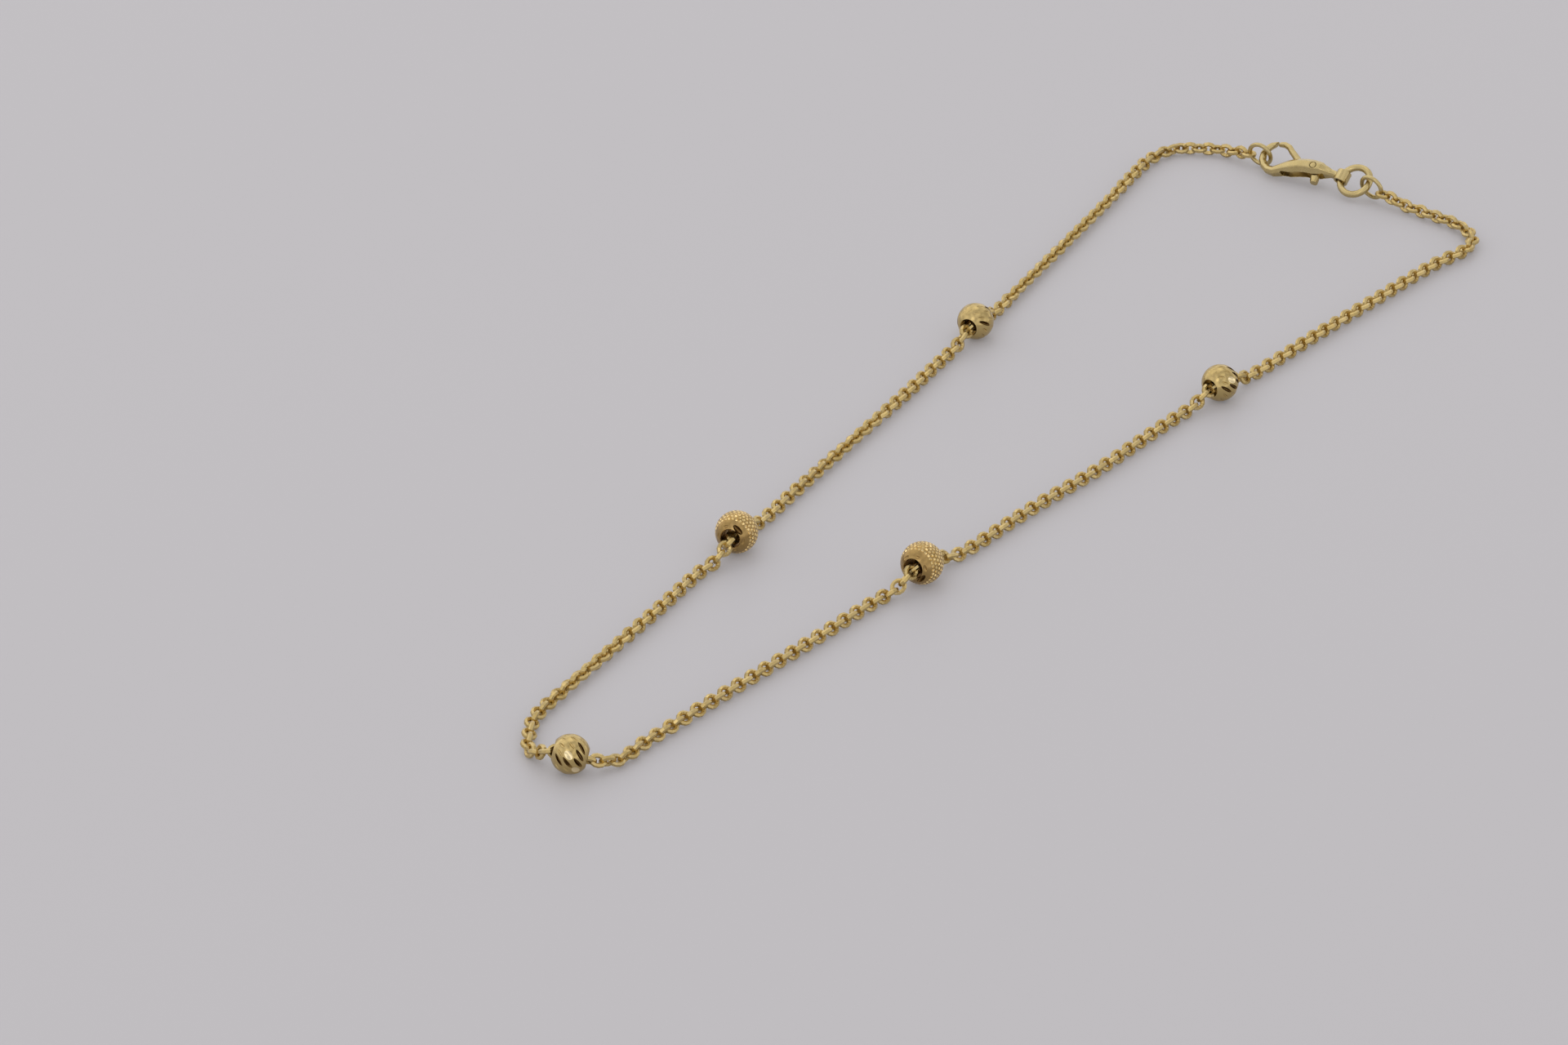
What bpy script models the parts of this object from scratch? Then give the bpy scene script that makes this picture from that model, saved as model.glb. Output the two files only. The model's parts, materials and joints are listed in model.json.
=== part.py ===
"""Chain anklet: a fine rolo chain threaded through five cut gold beads, closed by a lobster clasp.

It lies as one long open loop on a surface, with its length along Y and the clasp at the far end.
The chain is one tube as wide as its links. The clasp's lever turns on its rivet and closes the claw.
Metres, +Z up. The surface is z = 0, and the loop is centred on the origin.
"""

import math

import bmesh
import bpy
from mathutils import Matrix, Vector

MM = 0.001

# Chain
CHAIN_WIDTH = 1.04 * MM
CHAIN_BEVEL_STEPS = 2
CHAIN_MOST_STEP = 5.2 * MM
CHAIN_MOST_TURN = math.radians(15)
CHAIN_DROP = 2.6 * MM

# Beads
SPIRAL_BEAD = 2.9 * MM
SPIRAL_BORE = 1.36 * MM
SPIRAL_CUT_DEPTH = 0.11 * MM
SPIRAL_CUTS_ROUND = 12
SPIRAL_SLANT = math.radians(42)
SPARKLE_BEAD = 3.25 * MM
SPARKLE_BORE = 1.45 * MM
SPARKLE_CUT_DEPTH = 0.12 * MM
SPARKLE_PIT_DEPTH = 0.07 * MM
SPARKLE_COLUMNS = 32
BORE_LIP = 0.07 * MM
BORE_PLAY = 0.1 * MM

# Clasp, seen flat: along from the claw's eye to its base, across towards the gate, through its thickness
EYE_RADIUS = 1.02 * MM
CLAW_WIRE = 0.6 * MM
CLASP_THICKNESS = 1.6 * MM
CLASP_REACH = 6.3 * MM
CHEEK_WIDTH = 1.4 * MM
NECK_WIDTH = 0.6 * MM
LEVER_THICKNESS = 0.6 * MM
LEVER_PLAY = 0.1 * MM
GATE_WIDTH = 0.5 * MM
RIVET = 0.5 * MM
RIVET_PLAY = 0.04 * MM
RIVET_ALONG = 3.7 * MM
RIVET_ACROSS = -0.05 * MM
TAB_REACH = 1.25 * MM
BARREL = 1.24 * MM
BARREL_LENGTH = 1.0 * MM
CLASP_HEIGHT = 1.4 * MM
CLASP_TILT = math.radians(37)
CLASP_YAW = math.radians(-2)
CLASP_PLACE = (0.52 * MM, 72.3 * MM)

# Rings
JUMP_RING = 3.1 * MM
JUMP_WIRE = 0.56 * MM
END_RING = 2.3 * MM
END_WIRE = 0.36 * MM
RING_PLAY = 0.1 * MM
END_RING_PLAY = 0.16 * MM
END_RING_LEAN = 0.35
CHAIN_GAP = 0.15 * MM
CLAW_RING_ANGLE = 186
CLAW_RING_DROOP = math.radians(14)
JUMP_END_RING_DROOP = math.radians(18)

# The chain's route over the surface, in millimetres, from the claw round to the jump ring.
# A point with a bead's name is that bead's place, and the chain runs straight through it.
ROUTE = [
    (-4.6, 72.4, None),
    (-6.5, 71.6, None),
    (-8.2, 70.3, None),
    (-8.9, 67.9, None),
    (-8.6, 64.5, None),
    (-7.8, 59.4, None),
    (-6.7, 51.5, None),
    (-5.7, 44.0, None),
    (-5.0, 39.0, None),
    (-4.3, 33.5, "left_far_bead"),
    (-3.9, 28.4, None),
    (-3.1, 21.4, None),
    (-2.3, 12.5, None),
    (-1.5, 4.0, None),
    (-1.0, -0.8, None),
    (-0.5, -5.6, "left_near_bead"),
    (-0.4, -10.6, None),
    (0.2, -16.7, None),
    (0.8, -24.0, None),
    (1.3, -30.5, None),
    (1.8, -34.6, None),
    (3.0, -37.1, None),
    (4.5, -38.8, None),
    (7.8, -38.7, "front_bead"),
    (10.1, -36.6, None),
    (10.4, -33.2, None),
    (11.2, -24.7, None),
    (12.1, -15.8, None),
    (12.9, -6.6, None),
    (13.6, -1.8, "right_near_bead"),
    (14.3, 3.2, None),
    (14.9, 11.5, None),
    (15.8, 19.5, None),
    (16.4, 30.2, None),
    (17.1, 35.4, "right_far_bead"),
    (17.8, 40.6, None),
    (18.5, 49.0, None),
    (19.3, 56.5, None),
    (20.1, 64.0, None),
    (20.9, 67.8, None),
    (20.3, 69.8, None),
    (18.3, 71.2, None),
    (15.4, 71.6, None),
]

SPIRAL_BEADS = ("left_far_bead", "front_bead", "right_far_bead")

# Polar angles of the bead rings, in degrees from the bore, and how deep the cuts are there
SPIRAL_RINGS = [
    {"polar": 34, "row": 0, "depth": 0.0},
    {"polar": 43, "row": 0, "depth": 0.75},
    {"polar": 52, "row": 0, "depth": 1.0},
    {"polar": 61, "row": 0, "depth": 0.75},
    {"polar": 71, "row": 0, "depth": 0.0},
    {"polar": 81, "row": 1, "depth": 0.75},
    {"polar": 90, "row": 1, "depth": 1.0},
    {"polar": 99, "row": 1, "depth": 0.75},
    {"polar": 109, "row": 1, "depth": 0.0},
    {"polar": 119, "row": 2, "depth": 0.75},
    {"polar": 128, "row": 2, "depth": 1.0},
    {"polar": 137, "row": 2, "depth": 0.75},
    {"polar": 146, "row": 2, "depth": 0.0},
]
SPARKLE_RINGS = [
    {"polar": 36, "relief": "plain"},
    {"polar": 43, "relief": "cut"},
    {"polar": 51, "relief": "plain"},
    {"polar": 58, "relief": "plain"},
    {"polar": 67, "relief": "pits"},
    {"polar": 75, "relief": "pits"},
    {"polar": 83, "relief": "pits"},
    {"polar": 90, "relief": "pits"},
    {"polar": 97, "relief": "pits"},
    {"polar": 105, "relief": "pits"},
    {"polar": 113, "relief": "pits"},
    {"polar": 122, "relief": "plain"},
    {"polar": 129, "relief": "plain"},
    {"polar": 137, "relief": "cut"},
    {"polar": 144, "relief": "plain"},
]

# The hook's sections from its tip round the eye, by angle about the eye, as shares of the claw's wire
HOOK_SECTIONS = [
    {"angle": 119, "width": 0.66, "thickness": 0.85},
    {"angle": 138, "width": 0.85, "thickness": 0.95},
    {"angle": 160, "width": 0.95, "thickness": 1.0},
    {"angle": 184, "width": 1.0, "thickness": 0.95},
    {"angle": 208, "width": 1.0, "thickness": 1.0},
    {"angle": 232, "width": 1.02, "thickness": 1.1},
    {"angle": 256, "width": 1.08, "thickness": 1.3},
    {"angle": 280, "width": 1.15, "thickness": 1.6},
]
# The body's sections: along as a share of the reach from eye to barrel, across and width as shares of
# the cheeks' width, thickness as a share of the clasp's
BODY_SECTIONS = [
    {"along": 0.150, "across": -0.68, "width": 0.64, "thickness": 0.78},
    {"along": 0.246, "across": -0.47, "width": 0.86, "thickness": 0.95},
    {"along": 0.365, "across": -0.24, "width": 0.93, "thickness": 1.0},
    {"along": 0.476, "across": -0.10, "width": 0.97, "thickness": 1.0},
    {"along": 0.587, "across": -0.05, "width": 1.0, "thickness": 1.0},
    {"along": 0.690, "across": 0.0, "width": 0.82, "thickness": 0.95},
    {"along": 0.770, "across": 0.0, "width": 0.57, "thickness": 0.75},
]
# The neck's sections: along as a share of the reach, width and thickness as shares of the neck's width
NECK_SECTIONS = [
    {"along": 0.830, "width": 1.05, "thickness": 1.4},
    {"along": 0.890, "width": 1.0, "thickness": 1.25},
    {"along": 0.960, "width": 1.0, "thickness": 1.25},
]
SLOT_FROM, SLOT_TO = 0.163, 0.75

# The gate's sections by angle about the eye, then the lever's as shares of the way from gate to rivet
GATE_SECTIONS = [
    {"angle": 107, "width": 0.78, "thickness": 0.85},
    {"angle": 86, "width": 0.92, "thickness": 0.95},
    {"angle": 62, "width": 1.0, "thickness": 1.0},
    {"angle": 40, "width": 1.04, "thickness": 1.0},
]
LEVER_SECTIONS = [
    {"share": 0.20, "rise": -0.05, "width": 1.1},
    {"share": 0.40, "rise": -0.11, "width": 1.2},
    {"share": 0.60, "rise": -0.10, "width": 1.35},
    {"share": 0.80, "rise": -0.05, "width": 1.7},
    {"share": 1.0, "rise": 0.0, "width": 2.15},
]
# The thumb tab's sections from the rivet, along and out as shares of the tab's reach
TAB_SECTIONS = [
    {"along": 0.22, "out": 0.42, "width": 1.7, "thickness": 1.0},
    {"along": 0.32, "out": 0.76, "width": 1.45, "thickness": 1.0},
    {"along": 0.38, "out": 1.0, "width": 1.1, "thickness": 1.25},
]


def clear_scene():
    for item in list(bpy.data.objects):
        bpy.data.objects.remove(item, do_unlink=True)


def gold(name, colour, roughness):
    material = bpy.data.materials.new(name)
    material.use_nodes = True
    shader = material.node_tree.nodes["Principled BSDF"]
    shader.inputs["Base Color"].default_value = (*colour, 1.0)
    shader.inputs["Metallic"].default_value = 1.0
    shader.inputs["Roughness"].default_value = roughness
    return material


def empty(name, parent=None):
    holder = bpy.data.objects.new(name, None)
    holder.empty_display_size = 2 * MM
    holder.parent = parent
    bpy.context.collection.objects.link(holder)
    return holder


def mesh_object(name, shape, material, parent):
    """An object of the bmesh's shape, shaded smooth with its hard edges kept."""
    bmesh.ops.recalc_face_normals(shape, faces=shape.faces)
    mesh = bpy.data.meshes.new(name)
    shape.to_mesh(mesh)
    shape.free()
    mesh.materials.append(material)
    mesh.shade_smooth()
    mesh.set_sharp_from_angle(angle=math.radians(28))
    return placed(name, mesh, parent)


def placed(name, mesh, parent):
    item = bpy.data.objects.new(name, mesh)
    item.parent = parent
    bpy.context.collection.objects.link(item)
    return item


def joined_rings(shape, rings, closed_round=False):
    """Skins the rows of vertices in order. Each ring is a closed row of the same length."""
    pairs = list(zip(rings, rings[1:]))
    if closed_round:
        pairs.append((rings[-1], rings[0]))
    for first, second in pairs:
        count = len(first)
        for k in range(count):
            after = (k + 1) % count
            shape.faces.new((first[k], first[after], second[after], second[k]))


def smooth_fall(share):
    """1 at 0, falling smoothly to 0 at 1 and beyond."""
    share = min(max(share, 0.0), 1.0)
    return 1 - share * share * (3 - 2 * share)


# Beads


def bead_length(diameter, bore):
    """Length along the bore between the flat lips."""
    radius = diameter / 2
    return 2 * math.sqrt(radius**2 - (bore / 2 + BORE_LIP) ** 2)


def bead_mesh(name, diameter, bore, rings, columns, material):
    """A drilled ball about X. rings lists (polar angle, turn, depth of each column) from lip to lip."""
    shape = bmesh.new()
    radius = diameter / 2
    half = bead_length(diameter, bore) / 2
    lip = bore / 2 + BORE_LIP

    def ring(along, out, turn=0.0):
        corners = []
        for k in range(columns):
            angle = 2 * math.pi * k / columns + turn
            reach = out[k] if isinstance(out, list) else out
            shift = along[k] if isinstance(along, list) else along
            corners.append(shape.verts.new((shift, reach * math.cos(angle), reach * math.sin(angle))))
        return corners

    first_turn = rings[0][1]
    last_turn = rings[-1][1]
    rows = [ring(-half, bore / 2, first_turn), ring(-half, lip, first_turn)]
    for polar, turn, depths in rings:
        reaches = [(radius - depth) * math.sin(polar) for depth in depths]
        places = [-(radius - depth) * math.cos(polar) for depth in depths]
        rows.append(ring(places, reaches, turn))
    rows += [ring(half, lip, last_turn), ring(half, bore / 2, last_turn)]
    joined_rings(shape, rows)
    # The bore's wall joins the two lips along the shortest way round
    step = 2 * math.pi / columns
    offset = round((last_turn - first_turn) / step)
    front, back = rows[0], rows[-1]
    for k in range(columns):
        a, b = k % columns, (k + 1) % columns
        c, d = (k + 1 - offset) % columns, (k - offset) % columns
        shape.faces.new((front[b], front[a], back[d], back[c]))
    bmesh.ops.recalc_face_normals(shape, faces=shape.faces)
    mesh = bpy.data.meshes.new(name)
    shape.to_mesh(mesh)
    shape.free()
    mesh.materials.append(material)
    mesh.shade_smooth()
    mesh.set_sharp_from_angle(angle=math.radians(12))
    return mesh


def spiral_bead_mesh(material):
    """Three rows of slanted lens cuts, staggered, round a plain ball."""
    columns = 2 * SPIRAL_CUTS_ROUND
    step = 2 * math.pi / columns
    span = math.radians(SPIRAL_RINGS[-1]["polar"] - SPIRAL_RINGS[0]["polar"])
    whole_turn = round(span * math.tan(SPIRAL_SLANT) / step) * step
    first_polar = math.radians(SPIRAL_RINGS[0]["polar"])
    rings = []
    for row in SPIRAL_RINGS:
        polar = math.radians(row["polar"])
        turn = whole_turn * (polar - first_polar) / span
        depths = [
            SPIRAL_CUT_DEPTH * row["depth"] * ((k + row["row"]) % 2) for k in range(columns)
        ]
        rings.append((polar, turn, depths))
    return bead_mesh("spiral_cut_bead", SPIRAL_BEAD, SPIRAL_BORE, rings, columns, material)


def sparkle_bead_mesh(material):
    """A wide band of small pits, with a plain collar and a ring of lens cuts at each side."""
    rings = []
    for number, row in enumerate(SPARKLE_RINGS):
        depths = []
        for k in range(SPARKLE_COLUMNS):
            depth = 0.0
            if row["relief"] == "cut" and k % 4 in (1, 2):
                depth = SPARKLE_CUT_DEPTH
            if row["relief"] == "pits" and (k + number) % 2:
                depth = SPARKLE_PIT_DEPTH
            depths.append(depth)
        rings.append((math.radians(row["polar"]), 0.0, depths))
    return bead_mesh(
        "sparkle_cut_bead", SPARKLE_BEAD, SPARKLE_BORE, rings, SPARKLE_COLUMNS, material
    )


def bead_sizes(name):
    """(diameter, bore) of the named bead."""
    if name in SPIRAL_BEADS:
        return SPIRAL_BEAD, SPIRAL_BORE
    return SPARKLE_BEAD, SPARKLE_BORE


def bore_height(name):
    """How high the chain's middle runs through a bead that stands on the surface."""
    diameter, bore = bead_sizes(name)
    spare = bore / 2 - CHAIN_WIDTH / 2 - BORE_PLAY
    return diameter / 2 - max(spare, 0.0)


def route_headings():
    """Each bead's (place, heading) on the surface: it lines up with the points on either side."""
    found = {}
    for before, here, after in zip(ROUTE, ROUTE[1:], ROUTE[2:]):
        if here[2]:
            way = Vector(after[:2]) - Vector(before[:2])
            found[here[2]] = (Vector(here[:2]) * MM, way.normalized())
    return found


def make_beads(parent, material):
    meshes = {}
    for name, (place, way) in route_headings().items():
        diameter, _ = bead_sizes(name)
        kind = "spiral" if name in SPIRAL_BEADS else "sparkle"
        if kind not in meshes:
            meshes[kind] = (
                spiral_bead_mesh(material) if kind == "spiral" else sparkle_bead_mesh(material)
            )
        bead = placed(name, meshes[kind], parent)
        bead.location = (place.x, place.y, diameter / 2)
        bead.rotation_euler = (0, 0, math.atan2(way.y, way.x))


# Clasp


def clasp_matrix():
    """The clasp's own frame: X along, Y across, Z through, at the middle of its eye."""
    return (
        Matrix.Translation((*CLASP_PLACE, CLASP_HEIGHT))
        @ Matrix.Rotation(CLASP_YAW, 4, "Z")
        @ Matrix.Rotation(CLASP_TILT, 4, "X")
    )


def round_eye(angle, width):
    """The middle of a bar of this width that lies against the eye, at this angle in degrees."""
    reach = EYE_RADIUS + width / 2
    turn = math.radians(angle)
    return Vector((reach * math.cos(turn), reach * math.sin(turn)))


def swept_bar(shape, sections, end_direction):
    """A bar with chamfered flat sides through (middle, width, thickness) sections, capped at its ends.

    The first section's face lies along end_direction, so that a mouth closes on a true arc.
    """
    rows = []
    last = len(sections) - 1
    for number, (middle, width, thickness) in enumerate(sections):
        ahead = sections[min(number + 1, last)][0] - sections[max(number - 1, 0)][0]
        side = Vector((-ahead.y, ahead.x)).normalized()
        if number == 0:
            width = width / max(abs(side.dot(end_direction)), 0.5)
            side = end_direction if side.dot(end_direction) > 0 else -end_direction
        chamfer = 0.3 * min(width, thickness)
        flat, deep = width / 2, thickness / 2
        outline = [
            (flat, deep - chamfer),
            (flat - chamfer, deep),
            (chamfer - flat, deep),
            (-flat, deep - chamfer),
            (-flat, chamfer - deep),
            (chamfer - flat, -deep),
            (flat - chamfer, -deep),
            (flat, chamfer - deep),
        ]
        rows.append(
            [shape.verts.new((*(middle + side * across), through)) for across, through in outline]
        )
    joined_rings(shape, rows)
    shape.faces.new(rows[0])
    shape.faces.new(rows[-1])


def rivet_place():
    return Vector((RIVET_ALONG, RIVET_ACROSS))


def mouth_direction(sections):
    """Across the mouth, square to the line from the rivet to the bar's end."""
    arm = sections[0][0] - rivet_place()
    return Vector((-arm.y, arm.x)).normalized()


def hook_and_body_sections():
    sections = []
    for row in HOOK_SECTIONS:
        width = row["width"] * CLAW_WIRE
        sections.append((round_eye(row["angle"], width), width, row["thickness"] * CLAW_WIRE))
    for row in BODY_SECTIONS:
        middle = Vector((row["along"] * CLASP_REACH, row["across"] * CHEEK_WIDTH))
        sections.append((middle, row["width"] * CHEEK_WIDTH, row["thickness"] * CLASP_THICKNESS))
    for row in NECK_SECTIONS:
        middle = Vector((row["along"] * CLASP_REACH, 0.0))
        sections.append((middle, row["width"] * NECK_WIDTH, row["thickness"] * NECK_WIDTH))
    return sections


def lever_sections():
    sections = []
    for row in GATE_SECTIONS:
        width = row["width"] * GATE_WIDTH
        sections.append((round_eye(row["angle"], width), width, row["thickness"] * LEVER_THICKNESS))
    start = sections[-1][0]
    way = rivet_place() - start
    bow = Vector((-way.y, way.x))
    for row in LEVER_SECTIONS:
        middle = start + way * row["share"] + bow * row["rise"]
        sections.append((middle, row["width"] * GATE_WIDTH, LEVER_THICKNESS))
    for row in TAB_SECTIONS:
        middle = rivet_place() + Vector((row["along"], -row["out"])) * TAB_REACH
        sections.append((middle, row["width"] * GATE_WIDTH, row["thickness"] * LEVER_THICKNESS))
    return sections


def cylinder(name, diameter, length, material, parent, sides=16):
    shape = bmesh.new()
    bmesh.ops.create_cone(
        shape,
        cap_ends=True,
        segments=sides,
        radius1=diameter / 2,
        radius2=diameter / 2,
        depth=length,
    )
    return mesh_object(name, shape, material, parent)


def block(name, size, material, parent):
    shape = bmesh.new()
    bmesh.ops.create_cube(shape, size=1.0)
    bmesh.ops.scale(shape, vec=size, verts=shape.verts)
    return mesh_object(name, shape, material, parent)


def as_helper(item):
    item.hide_render = True
    item.display_type = "WIRE"
    return item


def boolean(item, operation, helper):
    step = item.modifiers.new(f"{operation.lower()} {helper.name}", "BOOLEAN")
    step.operation = operation
    step.solver = "EXACT"
    step.object = as_helper(helper)


def make_clasp_body(parent, material):
    """Hook, cheeks, neck and barrel as one casting, slotted for the lever and drilled for the rivet."""
    shape = bmesh.new()
    sections = hook_and_body_sections()
    swept_bar(shape, sections, mouth_direction(sections))
    body = mesh_object("clasp_body", shape, material, parent)

    barrel = cylinder("barrel_form", BARREL, BARREL_LENGTH, material, parent, sides=18)
    barrel.rotation_euler = (math.radians(90), 0, 0)
    barrel.location = (CLASP_REACH, 0, 0)
    boolean(body, "UNION", barrel)

    slot_length = (SLOT_TO - SLOT_FROM) * CLASP_REACH
    slot_size = (slot_length, 3 * CHEEK_WIDTH, LEVER_THICKNESS + 2 * LEVER_PLAY)
    slot = block("slot_cutter", slot_size, material, parent)
    slot.location = ((SLOT_FROM + SLOT_TO) / 2 * CLASP_REACH, 0, 0)
    boolean(body, "DIFFERENCE", slot)

    through = 2 * CLASP_THICKNESS
    drill = cylinder("rivet_drill", RIVET + 2 * RIVET_PLAY, through, material, parent)
    drill.location = (RIVET_ALONG, RIVET_ACROSS, 0)
    boolean(body, "DIFFERENCE", drill)

    reamer = cylinder("barrel_drill", barrel_bore(), 2 * BARREL_LENGTH, material, parent, sides=18)
    reamer.rotation_euler = (math.radians(90), 0, 0)
    reamer.location = (CLASP_REACH, 0, 0)
    boolean(body, "DIFFERENCE", reamer)


def make_lever(parent, material):
    """Gate, arm and thumb tab in one piece, about its rivet hole."""
    shape = bmesh.new()
    sections = lever_sections()
    swept_bar(shape, sections, mouth_direction(sections))
    bmesh.ops.translate(shape, vec=(-RIVET_ALONG, -RIVET_ACROSS, 0), verts=shape.verts)
    lever = mesh_object("clasp_lever", shape, material, parent)
    lever.location = (RIVET_ALONG, RIVET_ACROSS, 0)
    drill = cylinder(
        "lever_drill", RIVET + 2 * RIVET_PLAY, 2 * LEVER_THICKNESS, material, parent
    )
    drill.location = (RIVET_ALONG, RIVET_ACROSS, 0)
    boolean(lever, "DIFFERENCE", drill)


def make_rivet(parent, material):
    """A plain pin, just below the cheeks' flat sides."""
    rivet = cylinder("clasp_rivet", RIVET, CLASP_THICKNESS - RIVET_PLAY, material, parent)
    rivet.location = (RIVET_ALONG, RIVET_ACROSS, 0)


# Rings


def jump_radius():
    return (JUMP_RING - JUMP_WIRE) / 2


def barrel_bend():
    """How far the jump ring's wire bends away along the barrel."""
    return (BARREL_LENGTH / 2) ** 2 / (2 * jump_radius())


def barrel_bore():
    return JUMP_WIRE + barrel_bend() + 2 * RING_PLAY


def jump_middle():
    """The jump ring's middle along the clasp: its wire runs down the middle of the barrel's bore."""
    return CLASP_REACH + jump_radius() - barrel_bend() / 2


def end_radius():
    return (END_RING - END_WIRE) / 2


def ring(name, diameter, wire, material, parent, segments, sides):
    bpy.ops.mesh.primitive_torus_add(
        major_radius=(diameter - wire) / 2,
        minor_radius=wire / 2,
        major_segments=segments,
        minor_segments=sides,
    )
    item = bpy.context.object
    item.name = name
    item.data.name = name
    item.data.materials.append(material)
    item.data.shade_smooth()
    item.parent = parent
    return item


def make_jump_ring(parent, material):
    """It lies in the clasp's plane with one side through the barrel."""
    item = ring("jump_ring", JUMP_RING, JUMP_WIRE, material, parent, 28, 8)
    item.location = (jump_middle(), 0, 0)


def end_ring_frame(held, wire, along, droop, square):
    """Place of an end ring round the wire at held, which leads away down by droop.

    It stands upright, and leans part of the way towards square, the direction across the held wire.
    """
    level = Vector((along.x, along.y, 0)).normalized()
    way = level * math.cos(droop) - Vector((0, 0, 1)) * math.sin(droop)
    normal = way.cross(Vector((0, 0, 1)).lerp(square, END_RING_LEAN)).normalized()
    upward = normal.cross(way)
    inside = held - way * (wire / 2 + END_WIRE / 2 + END_RING_PLAY)
    middle = inside + way * end_radius()
    turned = Matrix((way, upward, normal)).transposed().to_4x4()
    return Matrix.Translation(middle) @ turned


def end_ring_frames():
    """Places of the claw's end ring and the jump ring's end ring."""
    clasp = clasp_matrix()
    along = clasp.to_3x3() @ Vector((1, 0, 0))
    through = clasp.to_3x3() @ Vector((0, 0, 1))
    hook = clasp @ Vector((*round_eye(CLAW_RING_ANGLE, CLAW_WIRE), 0))
    jump = clasp @ Vector((jump_middle() + jump_radius(), 0, 0))
    left = end_ring_frame(hook, CLAW_WIRE, -along, CLAW_RING_DROOP, through)
    right = end_ring_frame(jump, JUMP_WIRE, along, JUMP_END_RING_DROOP, through)
    return left, right


def make_end_rings(parent, material):
    for name, frame in zip(("claw_end_ring", "jump_end_ring"), end_ring_frames()):
        item = ring(name, END_RING, END_WIRE, material, parent, 20, 6)
        item.matrix_local = frame


# Chain


def hermite(start, end, start_way, end_way, share):
    reach = (end - start).length
    s2, s3 = share * share, share * share * share
    return (
        start * (2 * s3 - 3 * s2 + 1)
        + start_way * reach * (s3 - 2 * s2 + share)
        + end * (3 * s2 - 2 * s3)
        + end_way * reach * (s3 - s2)
    )


def chain_knots():
    """The places and headings that the chain passes on the surface, and how high it is held there."""
    left, right = end_ring_frames()
    reach = end_radius() + END_WIRE / 2 + CHAIN_GAP
    ends = [frame @ Vector((reach, 0, 0)) for frame in (left, right)]
    ways = [frame.to_3x3() @ Vector((1, 0, 0)) for frame in (left, right)]
    knots = [(ends[0].xy, ways[0].xy.normalized(), ends[0].z)]
    beads = route_headings()
    points = [ends[0].xy] + [Vector(row[:2]) * MM for row in ROUTE] + [ends[1].xy]
    for number, row in enumerate(ROUTE, start=1):
        if row[2]:
            place, way = beads[row[2]]
            half = bead_length(*bead_sizes(row[2])) / 2
            height = bore_height(row[2])
            knots.append((place - way * half, way, height))
            knots.append((place + way * half, way, height))
        else:
            way = (points[number + 1] - points[number - 1]).normalized()
            knots.append((points[number], way, None))
    knots.append((ends[1].xy, -ways[1].xy.normalized(), ends[1].z))
    return knots


def chain_path():
    """Points along the chain's middle: close together where it bends, and one at each bead's mouth."""
    knots = chain_knots()
    floor = CHAIN_WIDTH / 2
    dense = []
    held = []
    fixed = set()
    travelled = 0.0
    for first, second in zip(knots, knots[1:]):
        for k in range(24):
            place = hermite(first[0], second[0], first[1], second[1], k / 24)
            if dense:
                travelled += (place - dense[-1][0]).length
            if k == 0 and first[2] is not None:
                held.append((travelled, first[2]))
                fixed.add(len(dense))
            dense.append((place, travelled))
    travelled += (knots[-1][0] - dense[-1][0]).length
    held.append((travelled, knots[-1][2]))
    dense.append((knots[-1][0], travelled))
    fixed.add(len(dense) - 1)

    def height(distance):
        """Held level between a bead's two mouths, and falling to the surface beyond them."""
        best = floor
        for place, top in held:
            best = max(best, floor + (top - floor) * smooth_fall(abs(distance - place) / CHAIN_DROP))
        for (start, low), (end, high) in zip(held[1:-1:2], held[2:-1:2]):
            if start <= distance <= end:
                best = max(low, high)
        return best

    line = [Vector((*place, height(distance))) for place, distance in dense]
    points = [line[0]]
    way = (line[1] - line[0]).normalized()
    for k in range(1, len(line) - 1):
        ahead = (line[k + 1] - line[k]).normalized()
        far = (line[k] - points[-1]).length
        bent = ahead.angle(way)
        if k in fixed or far > CHAIN_MOST_STEP or (bent > CHAIN_MOST_TURN and far > CHAIN_WIDTH / 3):
            points.append(line[k])
            way = ahead
    points.append(line[-1])
    return points


def make_chain(parent, material):
    points = chain_path()
    curve = bpy.data.curves.new("chain", "CURVE")
    curve.dimensions = "3D"
    spline = curve.splines.new("POLY")
    spline.points.add(len(points) - 1)
    for point, place in zip(spline.points, points):
        point.co = (*place, 1.0)
    curve.bevel_depth = CHAIN_WIDTH / 2
    curve.bevel_resolution = CHAIN_BEVEL_STEPS
    curve.use_fill_caps = True
    curve.materials.append(material)
    return placed("chain", curve, parent)


def centre_on_surface(holder):
    """Moves the whole loop so that its box is centred over the origin."""
    bpy.context.view_layer.update()
    corners = []
    for item in bpy.data.objects:
        if item.type in ("MESH", "CURVE") and not item.hide_render:
            corners += [item.matrix_world @ Vector(corner) for corner in item.bound_box]
    for axis in (0, 1):
        low = min(corner[axis] for corner in corners)
        high = max(corner[axis] for corner in corners)
        holder.location[axis] = -(low + high) / 2


def main():
    clear_scene()
    bead_gold = gold("bead_gold", (0.83, 0.62, 0.26), 0.24)
    chain_gold = gold("chain_gold", (0.80, 0.60, 0.27), 0.28)
    clasp_gold = gold("clasp_gold", (0.80, 0.59, 0.25), 0.26)

    loop = empty("loop")
    make_beads(loop, bead_gold)
    make_chain(loop, chain_gold)
    make_end_rings(loop, clasp_gold)

    clasp = empty("clasp", loop)
    clasp.matrix_local = clasp_matrix()
    make_clasp_body(clasp, clasp_gold)
    make_lever(clasp, clasp_gold)
    make_rivet(clasp, clasp_gold)
    make_jump_ring(clasp, clasp_gold)

    centre_on_surface(loop)


main()
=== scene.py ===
"""Looks of the chain anklet: cut-gold beads on a fine rolo chain, closed by a lobster clasp.

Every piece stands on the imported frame. The chain's links follow the frame's tube, the beads stand at
the frame's beads, and the clasp and its rings keep the frame's places. Metres, +Z up, with the surface
that the anklet lies on at z = 0.
"""

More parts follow.
